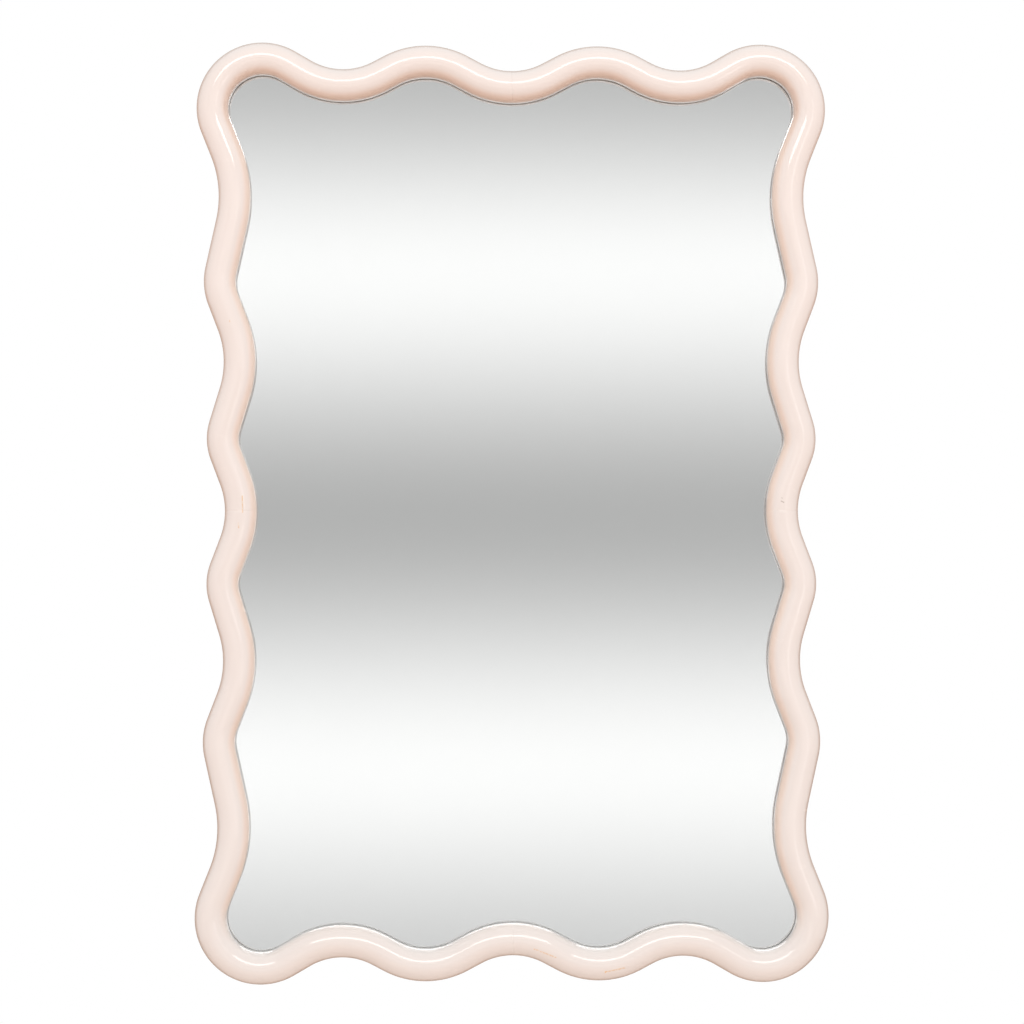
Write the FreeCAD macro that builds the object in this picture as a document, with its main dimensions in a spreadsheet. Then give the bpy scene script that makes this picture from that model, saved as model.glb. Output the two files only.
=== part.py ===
import FreeCAD, Part
import Sketcher
import math
import os

# A wall mirror in a wavy frame. Millimetres, +Z up, front towards -Y.
# The origin is on the wall plane, behind the middle of the mirror.

DRIVING_SIZES = [
    # outline of the frame
    ("overall_width", 614),
    ("overall_height", 914),
    ("rail_width", 31),
    ("lip_edge", 6),
    ("back_edge_round", 2),
    # waves, measured on the middle line of the rail
    ("corner_radius", 48.5),
    ("side_wave_depth", 17.3),
    ("side_flare", 11),
    ("side_pitch_growth", 4),
    ("side_straight_run", 26),
    ("side_crest_share", 0.325),
    ("end_wave_depth", 24.3),
    ("end_flare", 2.7),
    ("end_pitch_growth", -2.8),
    ("end_straight_run", 13),
    ("end_crest_share", 0.48),
    # what lies in the rebate, from the front to the back
    ("rebate_width", 8),
    ("pane_clearance", 1),
    ("glass_thickness", 2.9),
    ("silvering_thickness", 0.1),
    ("card_thickness", 1.5),
    ("board_thickness", 3),
    # dowels in the joints between the frame's quarters
    ("dowel_diameter", 6),
    ("dowel_length", 40),
    ("dowel_spacing", 11),
    ("dowel_above_rebate", 4),
    ("dowel_fit", 0.1),
    ("dowel_end_gap", 0.5),
    # turn buttons that hold the back in
    ("button_width", 9),
    ("button_thickness", 1.2),
    ("button_pivot_inset", 7.5),
    ("button_grip", 7),
    # wood screws, one kind for buttons and hangers
    ("screw_diameter", 3.5),
    ("screw_length", 14),
    ("screw_tip_length", 3),
    ("screw_head_diameter", 7),
    ("screw_head_height", 2),
    ("screw_head_round", 1.4),
    ("recess_span", 4),
    ("recess_width", 0.9),
    ("recess_depth", 1.2),
    ("screw_fit", 0.08),
    ("pilot_end_gap", 0.5),
    # hangers: a strap whose end is rolled round the bar of a loose ring
    ("strap_width", 10),
    ("strap_thickness", 1),
    ("strap_length", 36),
    ("strap_hole_from_end", 6),
    ("strap_hole_pitch", 10),
    ("strap_corner_round", 3),
    ("ring_wire", 2.5),
    ("ring_fit", 0.08),
    ("ring_side_gap", 0.5),
    ("ring_corner_radius", 2.5),
    ("ring_leg", 5),
    # bumpers between the frame and the wall
    ("bumper_height", 6),
    ("bumper_diameter", 12),
    ("bumper_face_diameter", 10),
    ("bumper_round", 1),
]

SIDE_HALF_WAVES = 5  # from the middle of a side rail to the corner
END_HALF_WAVES = 3   # from the middle of the top or bottom rail to the corner
CREST, TROUGH = 1, -1

# Signs of x and z in each quarter, and the half waves that carry buttons and hangers
QUARTERS = {(1, 1): "top_right", (1, -1): "bottom_right", (-1, -1): "bottom_left", (-1, 1): "top_left"}
BUTTON_WAVES = {"end": [1], "side": [3, 1]}
HANGER_WAVES = {"right": ("side", 4, 1, 1), "left": ("side", 4, -1, 1), "top": ("end", 2, 1, 1),
                "bottom": ("end", 2, 1, -1)}

# Ways that a piece's own +Z axis is turned
TO_TOP = FreeCAD.Rotation()
TO_RIGHT = FreeCAD.Rotation(FreeCAD.Vector(0, 1, 0), 90)
TO_FRONT = FreeCAD.Rotation(FreeCAD.Vector(1, 0, 0), 90)
TO_WALL = FreeCAD.Rotation(FreeCAD.Vector(1, 0, 0), -90)
END_SLACK = 0.01  # allowed when edges are picked by where they lie


def fill_sheet(name, rows):
    sheet = doc.addObject("Spreadsheet::Sheet", name)
    for row, (alias, content) in enumerate(rows, start=1):
        sheet.set(f"A{row}", alias.replace("_", " "))
        sheet.set(f"B{row}", str(content))
        sheet.setAlias(f"B{row}", alias)
    doc.recompute()
    return sheet


def wave_rows(kind, overall, reach, count):
    # where each half wave of a rail lies, how far out it comes and how round it is; odd ones are crests
    rows = []
    for step in range(count + 1):
        growth = f"Sizes.{kind}_pitch_growth * {step * (step - count) / 2}"
        rows.append((f"{kind}_station_{step}", f"={reach} * {step} / {count} + {growth}"))
        lag = f"Sizes.{kind}_flare * (1 - ({kind}_station_{step} / {reach})^2)"
        dip = "0" if step % 2 else f"Sizes.{kind}_wave_depth"
        rows.append((f"{kind}_apex_{step}", f"=Sizes.overall_{overall} / 2 - half_rail - {lag} - {dip}"))
    for step in range(count):
        pitch = f"({kind}_station_{step + 1} - {kind}_station_{step})"
        rise = f"abs({kind}_apex_{step + 1} - {kind}_apex_{step})"
        left = f"{pitch}^2 + {rise}^2 - Sizes.{kind}_straight_run^2"
        # the radii of two neighbouring arcs together, with the straight run between them
        rows.append((f"{kind}_bend_{step}", f"=({left}) / (2 * {rise})"))
    for step in range(count):
        share = f"Sizes.{kind}_crest_share" if step % 2 else f"(1 - Sizes.{kind}_crest_share)"
        after = f"{share} * {kind}_bend_{step}"
        if step == count - 1:
            after = f"{kind}_bend_{step} - Sizes.corner_radius"
        before = f"{share} * {kind}_bend_{max(step - 1, 0)}"
        rows.append((f"{kind}_radius_{step}", f"=min({before}; {after})"))
    return rows


def shared_rows():
    return [
        ("half_rail", "=Sizes.rail_width / 2"),
        ("back_y", "=-Sizes.bumper_height"),
        ("board_y", "=back_y - Sizes.board_thickness"),
        ("card_y", "=board_y - Sizes.card_thickness"),
        ("silvering_y", "=card_y - Sizes.silvering_thickness"),
        ("glass_y", "=silvering_y - Sizes.glass_thickness"),
        ("shoulder_y", "=glass_y - Sizes.lip_edge"),
        ("dowel_y", "=glass_y - Sizes.dowel_above_rebate"),
        ("rebate_wall", "=Sizes.rebate_width - half_rail"),
        ("pane_edge", "=rebate_wall - Sizes.pane_clearance"),
        ("band_middle", "=Sizes.rebate_width / 2"),
        ("corner_x", "=Sizes.overall_width / 2 - half_rail - Sizes.corner_radius"),
        ("corner_z", "=Sizes.overall_height / 2 - half_rail - Sizes.corner_radius"),
    ]


doc = FreeCAD.newDocument("wavy_mirror")
sizes = fill_sheet("Sizes", DRIVING_SIZES)
derived = fill_sheet("Derived", shared_rows() + wave_rows("side", "width", "corner_z", SIDE_HALF_WAVES)
                     + wave_rows("end", "height", "corner_x", END_HALF_WAVES))
sub_parts = []


def value(expression):
    return float(derived.evalExpression(str(expression)))


def keep(thing, label):
    thing.Label = label
    sub_parts.append(thing)
    return thing


def wave_peg(kind, step):
    # centre, radius and turn of the arc at a half wave, in the quarter to the top right
    turn = CREST if step % 2 else TROUGH
    radius = f"Derived.{kind}_radius_{step}"
    out = f"Derived.{kind}_apex_{step} - {turn} * {radius}"
    along = f"Derived.{kind}_station_{step}"
    return (out, along, radius, turn) if kind == "side" else (along, out, radius, turn)


def quarter_pegs():
    sides = [wave_peg("side", step) for step in range(SIDE_HALF_WAVES)]
    ends = [wave_peg("end", step) for step in reversed(range(END_HALF_WAVES))]
    return sides + [("Derived.corner_x", "Derived.corner_z", "Sizes.corner_radius", CREST)] + ends


# Sketch helpers

def plane_of(body, role):
    return next(plane for plane in body.Origin.OriginFeatures if plane.Role == role)


def new_body(name):
    return doc.addObject("PartDesign::Body", name)


def new_sketch(body, name, role, offset="0"):
    sketch = body.newObject("Sketcher::SketchObject", name)
    sketch.AttachmentSupport = [(plane_of(body, role), "")]
    sketch.MapMode = "FlatFace"
    sketch.setExpression("AttachmentOffset.Base.z", offset)
    return sketch


def new_feature(body, kind, name, sketch, **lengths):
    feature = body.newObject(f"PartDesign::{kind}", name)
    feature.Profile = sketch
    for size, expression in lengths.items():
        feature.setExpression(size, expression)
    return feature


def flat(across, up):
    return FreeCAD.Vector(across, up, 0)


def circle_at(centre, radius):
    return Part.Circle(centre, FreeCAD.Vector(0, 0, 1), radius)


def bind(sketch, kind, *where, to):
    index = sketch.addConstraint(Sketcher.Constraint(kind, *where, value(to)))
    sketch.setExpression(f"Constraints[{index}]", to)


def bind_point(sketch, edge, end, across, up):
    bind(sketch, "DistanceX", -1, 1, edge, end, to=across)
    bind(sketch, "DistanceY", -1, 1, edge, end, to=up)


def join(sketch, *ends):
    sketch.addConstraint(Sketcher.Constraint("Coincident", *ends))


def touch(sketch, *ends):
    sketch.addConstraint(Sketcher.Constraint("Tangent", *ends))


def add_circle(sketch, across, up, radius):
    index = sketch.addGeometry(circle_at(flat(value(across), value(up)), value(radius)), False)
    bind_point(sketch, index, 3, across, up)
    bind(sketch, "Radius", index, to=radius)


def run_headings(pegs):
    # direction of the straight run into and out of each arc, from upwards to leftwards
    runs = [math.pi / 2]
    for (x1, z1, r1, turn1), (x2, z2, r2, turn2) in zip(pegs, pegs[1:]):
        lean = math.asin((turn2 * r2 - turn1 * r1) / math.hypot(x2 - x1, z2 - z1))
        runs.append((math.atan2(z2 - z1, x2 - x1) - lean) % (2 * math.pi))
    return runs + [math.pi]


def wave_sketch(body, name, outwards, plane_offset):
    # the quarter to the top right: arcs joined by straight runs that touch them, moved outwards
    sketch = new_sketch(body, name, "XZ_Plane", plane_offset)
    pegs = quarter_pegs()
    radii = [f"{radius} + {turn} * ({outwards})" for x, z, radius, turn in pegs]
    placed = [(value(x), value(z), value(r), turn) for (x, z, radius, turn), r in zip(pegs, radii)]
    runs = run_headings(placed)
    arcs, ends = [], []
    for (x, z, radius, turn), before, after in zip(placed, runs, runs[1:]):
        start, end = (heading - turn * math.pi / 2 for heading in (before, after))
        circle = circle_at(flat(x, z), radius)
        arcs.append(Part.ArcOfCircle(circle, min(start, end), max(start, end)))
        ends.append((circle.value(start), circle.value(end)))
    lines = [Part.LineSegment(here[1], there[0]) for here, there in zip(ends, ends[1:])]
    sketch.addGeometry(arcs + lines, False)
    for index, ((x, z, radius, turn), moved_radius) in enumerate(zip(pegs, radii)):
        bind_point(sketch, index, 3, x, z)
        bind(sketch, "Radius", index, to=moved_radius)
    entry = {CREST: 1, TROUGH: 2}
    leave = {CREST: 2, TROUGH: 1}
    turns = [peg[3] for peg in pegs]
    for index in range(len(lines)):
        line = len(arcs) + index
        touch(sketch, index, leave[turns[index]], line, 1)
        touch(sketch, line, 2, index + 1, entry[turns[index + 1]])
    first, last = (0, entry[turns[0]]), (len(arcs) - 1, leave[turns[-1]])
    bind(sketch, "DistanceY", -1, 1, *first, to="0")
    bind(sketch, "DistanceX", -1, 1, *last, to="0")
    return sketch, first, last


# The frame: four quarters with a round front, a rebate at the back and dowelled joints

def rail_profile(body):
    # section of the rail at the middle of the right side, outer side to +X and front to -Y
    sketch = new_sketch(body, "rail_profile", "XY_Plane")
    outer = "Derived.side_apex_0 + Derived.half_rail"
    inner = "Derived.side_apex_0 - Derived.half_rail"
    wall = "Derived.side_apex_0 + Derived.rebate_wall"
    corners = [
        (f"{outer} - Sizes.back_edge_round", "Derived.back_y"),
        (outer, "Derived.back_y - Sizes.back_edge_round"),
        (outer, "Derived.shoulder_y"),
        (inner, "Derived.shoulder_y"),
        (inner, "Derived.glass_y"),
        (wall, "Derived.glass_y"),
        (wall, "Derived.back_y"),
    ]
    points = [flat(value(x), value(y)) for x, y in corners]
    edge_circle = circle_at(flat(points[0].x, points[1].y), value("Sizes.back_edge_round"))
    front_circle = circle_at((points[2] + points[3]) / 2, value("Derived.half_rail"))
    sketch.addGeometry([
        Part.ArcOfCircle(edge_circle, 0, math.pi / 2),
        Part.LineSegment(points[1], points[2]),
        Part.ArcOfCircle(front_circle, math.pi, 2 * math.pi),
        Part.LineSegment(points[3], points[4]),
        Part.LineSegment(points[4], points[5]),
        Part.LineSegment(points[5], points[6]),
        Part.LineSegment(points[6], points[0]),
    ], False)
    for line, corner in ((1, 1), (3, 3), (4, 4), (5, 5), (6, 6)):
        bind_point(sketch, line, 1, *corners[corner])
    bind_point(sketch, 1, 2, *corners[2])
    bind_point(sketch, 6, 2, *corners[0])
    join(sketch, 3, 2, 4, 1)
    join(sketch, 4, 2, 5, 1)
    join(sketch, 5, 2, 6, 1)
    join(sketch, 0, 2, 6, 2)
    touch(sketch, 0, 1, 1, 1)
    join(sketch, 2, 2, 1, 2)
    touch(sketch, 2, 1, 3, 1)
    return sketch


def dowel_offsets():
    return ("-Sizes.dowel_spacing / 2", "Sizes.dowel_spacing / 2")


def dowel_holes(body, name, role, centres):
    sketch = new_sketch(body, f"{name}_sketch", role)
    for across, up in centres:
        add_circle(sketch, across, up, "Sizes.dowel_diameter / 2 + Sizes.dowel_fit")
    holes = new_feature(body, "Pocket", name, sketch, Length="Sizes.dowel_length / 2 + Sizes.dowel_end_gap")
    holes.Reversed = True


def frame_quarter():
    body = new_body("frame_quarter")
    path, first, last = wave_sketch(body, "rail_path", "0", "0")
    profile = rail_profile(body)
    doc.recompute()
    rail = new_feature(body, "AdditivePipe", "rail", profile)
    rail.Spine = (path, [f"Edge{index + 1}" for index in range(len(path.Shape.Edges))])
    doc.recompute()
    side = [(f"Derived.side_apex_0 + {shift}", "Derived.dowel_y") for shift in dowel_offsets()]
    dowel_holes(body, "side_dowel_holes", "XY_Plane", side)
    end = [("Derived.dowel_y", f"Derived.end_apex_0 + {shift}") for shift in dowel_offsets()]
    dowel_holes(body, "end_dowel_holes", "YZ_Plane", end)
    return body


def mirrored(source, name, normal):
    twin = doc.addObject("Part::Mirroring", name)
    twin.Source = source
    twin.Normal = normal
    return twin


def upright(name, kind, x, y, z, turn, **lengths):
    # a primitive placed by expressions, its own axis turned from +Z
    thing = doc.addObject(f"Part::{kind}", name)
    for size, expression in lengths.items():
        thing.setExpression(size, expression)
    place(thing, x, y, z, turn)
    return thing


def place(thing, x, y, z, turn):
    thing.Placement = FreeCAD.Placement(FreeCAD.Vector(), turn)
    for axis, expression in zip("xyz", (x, y, z)):
        thing.setExpression(f"Placement.Base.{axis}", expression)


def drilled(blank, name, pilots):
    tools = doc.addObject("Part::Compound", f"{name}_pilots")
    tools.Links = pilots
    cut = doc.addObject("Part::Cut", f"{name}_cut")
    cut.Base = blank
    cut.Tool = tools
    return keep(cut, name)


def pilot(name, x, z, seat):
    depth = f"Sizes.screw_length - {seat} + Sizes.pilot_end_gap"
    radius = "Sizes.screw_diameter / 2 + Sizes.screw_fit"
    return upright(f"pilot_{name}", "Cylinder", x, "Derived.back_y", z, TO_FRONT, Radius=radius, Height=depth)


def frame():
    blanks = {(1, 1): frame_quarter()}
    blanks[-1, 1] = mirrored(blanks[1, 1], "blank_top_left", FreeCAD.Vector(1, 0, 0))
    blanks[1, -1] = mirrored(blanks[1, 1], "blank_bottom_right", FreeCAD.Vector(0, 0, 1))
    blanks[-1, -1] = mirrored(blanks[-1, 1], "blank_bottom_left", FreeCAD.Vector(0, 0, 1))
    for signs, blank in blanks.items():
        near = [screw for screw in button_sites() + hanger_screws() if screw["quarter"] == signs]
        pilots = [pilot(screw["name"], screw["x"], screw["z"], screw["seat"]) for screw in near]
        drilled(blank, f"frame_{QUARTERS[signs]}", pilots)


def dowels():
    # two in each joint, half in one quarter and half in the next
    joints = {
        "right": ("Derived.side_apex_0 + {0}", "-Sizes.dowel_length / 2", TO_TOP),
        "left": ("-Derived.side_apex_0 - {0}", "-Sizes.dowel_length / 2", TO_TOP),
        "top": ("-Sizes.dowel_length / 2", "Derived.end_apex_0 + {0}", TO_RIGHT),
        "bottom": ("-Sizes.dowel_length / 2", "-Derived.end_apex_0 - {0}", TO_RIGHT),
    }
    for joint, (x, z, turn) in joints.items():
        pair = doc.addObject("Part::Compound", f"dowels_{joint}_pair")
        pair.Links = [
            upright(f"dowel_{joint}_{number}", "Cylinder", x.format(f"({shift})"), "Derived.dowel_y",
                    z.format(f"({shift})"), turn, Radius="Sizes.dowel_diameter / 2", Height="Sizes.dowel_length")
            for number, shift in enumerate(dowel_offsets(), start=1)
        ]
        keep(pair, f"dowels_{joint}")


# What lies in the rebate: glass, silvering, card and board, all of one outline

def pane(name, back_y, thickness):
    body = new_body(f"{name}_quarter")
    sketch, first, last = wave_sketch(body, f"{name}_outline", "Derived.pane_edge", f"-{back_y}")
    middle = flat(0, 0)
    low, high = (sketch.getPoint(*end) for end in (first, last))
    edges = sketch.addGeometry([Part.LineSegment(high, middle), Part.LineSegment(middle, low)], False)
    join(sketch, *last, edges[0], 1)
    join(sketch, edges[0], 2, -1, 1)
    join(sketch, edges[1], 1, -1, 1)
    join(sketch, edges[1], 2, *first)
    new_feature(body, "Pad", f"{name}_pad", sketch, Length=thickness)
    half = mirrored_union(body, f"{name}_half", FreeCAD.Vector(1, 0, 0))
    keep(mirrored_union(half, f"{name}_whole", FreeCAD.Vector(0, 0, 1)), name)


def mirrored_union(source, name, normal):
    union = doc.addObject("Part::Fuse", name)
    union.Base = source
    union.Tool = mirrored(source, f"{name}_twin", normal)
    union.Refine = True
    return union


# Turn buttons, numbered clockwise from the top as seen from the front

def button_sites():
    sites = []
    inset = "Derived.rebate_wall + Sizes.button_pivot_inset"
    waves = [(kind, step) for kind, steps in BUTTON_WAVES.items() for step in steps]
    for x_sign, z_sign in QUARTERS:
        for kind, step in waves:
            out = f"(Derived.{kind}_apex_{step} + {inset})"
            along = f"Derived.{kind}_station_{step}"
            x, z = (out, along) if kind == "side" else (along, out)
            inwards = (-x_sign, 0) if kind == "side" else (0, -z_sign)
            sites.append({"quarter": (x_sign, z_sign), "x": f"{x_sign} * {x}", "z": f"{z_sign} * {z}",
                          "inwards": inwards, "seat": "Sizes.button_thickness"})
    sites.sort(key=lambda site: math.atan2(value(site["x"]), value(site["z"])) % (2 * math.pi))
    for number, site in enumerate(sites, start=1):
        site["name"] = f"button_{number:02d}"
    return sites


def turn_button(site):
    # a flat bar with round ends, the pivot hole at one end and the nose over the board
    body = new_body(site["name"])
    sketch = new_sketch(body, f"{site['name']}_outline", "XZ_Plane")
    nose = "Sizes.button_pivot_inset + Sizes.button_grip - Sizes.button_width / 2"
    radius, reach = value("Sizes.button_width / 2"), value(nose)
    sketch.addGeometry([
        Part.ArcOfCircle(circle_at(flat(0, 0), radius), math.pi / 2, 3 * math.pi / 2),
        Part.LineSegment(flat(0, -radius), flat(reach, -radius)),
        Part.ArcOfCircle(circle_at(flat(reach, 0), radius), -math.pi / 2, math.pi / 2),
        Part.LineSegment(flat(reach, radius), flat(0, radius)),
    ], False)
    bind_point(sketch, 0, 3, "0", "0")
    bind_point(sketch, 2, 3, nose, "0")
    bind(sketch, "Radius", 0, to="Sizes.button_width / 2")
    sketch.addConstraint(Sketcher.Constraint("Equal", 0, 2))
    touch(sketch, 0, 2, 1, 1)
    touch(sketch, 1, 2, 2, 1)
    touch(sketch, 2, 2, 3, 1)
    touch(sketch, 3, 2, 0, 1)
    add_circle(sketch, "0", "0", "Sizes.screw_diameter / 2 + Sizes.screw_fit")
    plate = new_feature(body, "Pad", f"{site['name']}_plate", sketch, Length="Sizes.button_thickness")
    plate.Reversed = True
    across, up = site["inwards"]
    heading = FreeCAD.Rotation(FreeCAD.Vector(0, 1, 0), math.degrees(math.atan2(-up, across)))
    place(body, site["x"], "Derived.back_y", site["z"], heading)
    keep(body, f"turn_{site['name']}")


# Screws with a round head and a cross recess; the seat under the head is at the origin

def screw_blank():
    shank_length = "Sizes.screw_length - Sizes.screw_tip_length"
    shank = upright("screw_shank", "Cylinder", "0", "0", f"-({shank_length})", TO_TOP,
                    Radius="Sizes.screw_diameter / 2", Height=shank_length)
    tip = upright("screw_tip", "Cone", "0", "0", "-Sizes.screw_length", TO_TOP, Radius1="0",
                  Radius2="Sizes.screw_diameter / 2", Height="Sizes.screw_tip_length")
    head = upright("screw_head", "Cylinder", "0", "0", "0", TO_TOP,
                   Radius="Sizes.screw_head_diameter / 2", Height="Sizes.screw_head_height")
    round_head = rounded(head, "screw_round_head", "Sizes.screw_head_round", top_rim(head))
    solid = doc.addObject("Part::MultiFuse", "screw_solid")
    solid.Shapes = [shank, tip, round_head]
    bottom = "Sizes.screw_head_height - Sizes.recess_depth"
    span, width = "Sizes.recess_span", "Sizes.recess_width"
    slots = doc.addObject("Part::MultiFuse", "screw_recess")
    slots.Shapes = [
        upright(f"screw_slot_{number}", "Box", f"-{long} / 2", f"-{wide} / 2", bottom, TO_TOP,
                Length=long, Width=wide, Height="Sizes.recess_depth")
        for number, (long, wide) in enumerate(((span, width), (width, span)), start=1)
    ]
    blank = doc.addObject("Part::Cut", "screw_blank")
    blank.Base = solid
    blank.Tool = slots
    doc.recompute()
    return blank


def top_rim(round_solid):
    # number of the edge round the +Z end of a cylinder or cone
    doc.recompute()
    tops = [edge.BoundBox.ZMin for edge in round_solid.Shape.Edges]
    return tops.index(max(tops)) + 1


def rounded(base, name, radius, edge):
    fillet = doc.addObject("Part::Fillet", name)
    fillet.Base = base
    fillet.Edges = [(edge, value(radius), value(radius))]
    return fillet


def screw_group(blank, screws, label):
    group = doc.addObject("Part::Feature", label)
    copies = []
    for screw in screws:
        copy = blank.Shape.copy()
        seat_y = value(f"Derived.back_y + {screw['seat']}")
        where = FreeCAD.Vector(value(screw["x"]), seat_y, value(screw["z"]))
        copy.Placement = FreeCAD.Placement(where, TO_WALL)
        copies.append(copy)
    group.Shape = Part.makeCompound(copies)
    group.Placement = FreeCAD.Placement()
    keep(group, label)


# Hangers: local +Z towards the ring's bow, +Y towards the wall, origin under the bar on the frame's back

BARREL_RADIUS = "(Sizes.ring_wire / 2 + Sizes.ring_fit + Sizes.strap_thickness)"
RING_HALF_WIDTH = "(Sizes.strap_width / 2 + Sizes.ring_side_gap + Sizes.ring_corner_radius)"
RING_REACH = f"(Sizes.ring_leg + Sizes.ring_corner_radius + {RING_HALF_WIDTH} + Sizes.ring_wire / 2)"
BAR_SHIFT = f"((Sizes.strap_length - {RING_REACH}) / 2)"


def hanger_sites():
    # the bar sits past the middle of a trough, so that strap and ring lie evenly about it
    sites = []
    for name, (kind, step, x_sign, z_sign) in HANGER_WAVES.items():
        out = f"(Derived.{kind}_apex_{step} + Derived.band_middle)"
        along = f"(Derived.{kind}_station_{step} + {BAR_SHIFT})"
        x, z = (out, along) if kind == "side" else (along, out)
        turn = FreeCAD.Rotation() if kind == "side" else TO_RIGHT
        sites.append({"name": name, "kind": kind, "quarter": (x_sign, z_sign), "turn": turn,
                      "x": f"{x_sign} * {x}", "z": f"{z_sign} * {z}"})
    return sites


def strap_holes():
    far = "(Sizes.strap_length - Sizes.strap_hole_from_end)"
    return (far, f"({far} - Sizes.strap_hole_pitch)")


def hanger_screws():
    screws = []
    for site in hanger_sites():
        for number, below in enumerate(strap_holes(), start=1):
            x, z = site["x"], site["z"]
            if site["kind"] == "side":
                z = f"{z} - {below}"
            else:
                x = f"{x} - {below}"
            screws.append({"name": f"hanger_{site['name']}_{number}", "quarter": site["quarter"],
                           "x": x, "z": z, "seat": "Sizes.strap_thickness"})
    return screws


def hanger_strap(site):
    # a strip whose end is rolled round the bar, drawn from its edge
    body = new_body(f"strap_{site['name']}")
    sketch = new_sketch(body, f"strap_{site['name']}_edge", "YZ_Plane")
    radius, thickness, length = (value(size) for size in
                                 (BARREL_RADIUS, "Sizes.strap_thickness", "Sizes.strap_length"))
    curl = math.acos((thickness - radius) / radius)
    barrel = circle_at(flat(radius, 0), radius)
    lower, upper = barrel.value(math.pi), barrel.value(-curl)
    sketch.addGeometry([
        Part.LineSegment(flat(0, -length), lower),
        Part.ArcOfCircle(barrel, -curl, math.pi),
        Part.LineSegment(upper, flat(thickness, -length)),
        Part.LineSegment(flat(thickness, -length), flat(0, -length)),
    ], False)
    bind_point(sketch, 1, 3, BARREL_RADIUS, "0")
    bind(sketch, "Radius", 1, to=BARREL_RADIUS)
    bind_point(sketch, 0, 1, "0", "-Sizes.strap_length")
    bind(sketch, "DistanceY", -1, 1, 0, 2, to="0")
    join(sketch, 0, 2, 1, 2)
    join(sketch, 1, 1, 2, 1)
    bind(sketch, "DistanceX", -1, 1, 2, 1, to="Sizes.strap_thickness")
    bind_point(sketch, 2, 2, "Sizes.strap_thickness", "-Sizes.strap_length")
    join(sketch, 2, 2, 3, 1)
    join(sketch, 3, 2, 0, 1)
    add_circle(sketch, BARREL_RADIUS, "0", "Sizes.ring_wire / 2 + Sizes.ring_fit")
    strip = new_feature(body, "Pad", f"strap_{site['name']}_strip", sketch, Length="Sizes.strap_width")
    strip.Midplane = True
    holes = new_sketch(body, f"strap_{site['name']}_holes", "XZ_Plane")
    for below in strap_holes():
        add_circle(holes, "0", f"-{below}", "Sizes.screw_diameter / 2 + Sizes.screw_fit")
    drilled_strip = new_feature(body, "Pocket", f"strap_{site['name']}_drilled", holes,
                                Length="Sizes.strap_thickness")
    doc.recompute()
    ends = [f"Edge{number}" for number, edge in enumerate(body.Shape.Edges, start=1)
            if edge.BoundBox.ZMax < -length + END_SLACK and edge.BoundBox.YLength > thickness - END_SLACK
            and edge.BoundBox.XLength < END_SLACK]
    corners = body.newObject("PartDesign::Fillet", f"strap_{site['name']}_corners")
    corners.Base = (drilled_strip, ends)
    corners.setExpression("Radius", "Sizes.strap_corner_round")
    place(body, site["x"], "Derived.back_y", site["z"], site["turn"])
    keep(body, f"hanger_strap_{site['name']}")


def hanger_ring(site):
    # round wire bent to a D, its straight bar in the strap's roll
    body = new_body(f"ring_{site['name']}")
    path = new_sketch(body, f"ring_{site['name']}_path", "XZ_Plane", f"-{BARREL_RADIUS}")
    half, bend, leg = (value(size) for size in (RING_HALF_WIDTH, "Sizes.ring_corner_radius", "Sizes.ring_leg"))
    top = bend + leg
    path.addGeometry([
        Part.LineSegment(flat(0, 0), flat(half - bend, 0)),
        Part.ArcOfCircle(circle_at(flat(half - bend, bend), bend), -math.pi / 2, 0),
        Part.LineSegment(flat(half, bend), flat(half, top)),
        Part.ArcOfCircle(circle_at(flat(0, top), half), 0, math.pi),
        Part.LineSegment(flat(-half, top), flat(-half, bend)),
        Part.ArcOfCircle(circle_at(flat(bend - half, bend), bend), math.pi, 3 * math.pi / 2),
        Part.LineSegment(flat(bend - half, 0), flat(0, 0)),
    ], False)
    join(path, 0, 1, -1, 1)
    join(path, 6, 2, -1, 1)
    for edge in range(6):
        touch(path, edge, 2, edge + 1, 1)
    path.addConstraint(Sketcher.Constraint("Horizontal", 0))
    path.addConstraint(Sketcher.Constraint("Horizontal", 6))
    path.addConstraint(Sketcher.Constraint("Equal", 1, 5))
    bind(path, "Radius", 1, to="Sizes.ring_corner_radius")
    bind(path, "DistanceX", -1, 1, 3, 3, to="0")
    bind(path, "Radius", 3, to=RING_HALF_WIDTH)
    bind(path, "DistanceY", 2, 1, 2, 2, to="Sizes.ring_leg")
    section = new_sketch(body, f"ring_{site['name']}_section", "YZ_Plane")
    add_circle(section, BARREL_RADIUS, "0", "Sizes.ring_wire / 2")
    doc.recompute()
    wire = new_feature(body, "AdditivePipe", f"ring_{site['name']}_wire", section)
    wire.Spine = (path, [f"Edge{index + 1}" for index in range(len(path.Shape.Edges))])
    place(body, site["x"], "Derived.back_y", site["z"], site["turn"])
    keep(body, f"hanger_ring_{site['name']}")


# Rubber bumpers at the corners

def bumper(signs, name):
    x_sign, z_sign = signs
    diagonal = "(Sizes.corner_radius + Derived.band_middle) / sqrt(2)"
    cone = upright(f"bumper_cone_{name}", "Cone", f"{x_sign} * (Derived.corner_x + {diagonal})", "Derived.back_y",
                   f"{z_sign} * (Derived.corner_z + {diagonal})", TO_WALL, Radius1="Sizes.bumper_diameter / 2",
                   Radius2="Sizes.bumper_face_diameter / 2", Height="Sizes.bumper_height")
    doc.recompute()
    faces = [edge.BoundBox.YMax if edge.Closed else -math.inf for edge in cone.Shape.Edges]
    rim = faces.index(max(faces)) + 1
    keep(rounded(cone, f"bumper_round_{name}", "Sizes.bumper_round", rim), f"bumper_{name}")


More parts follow.
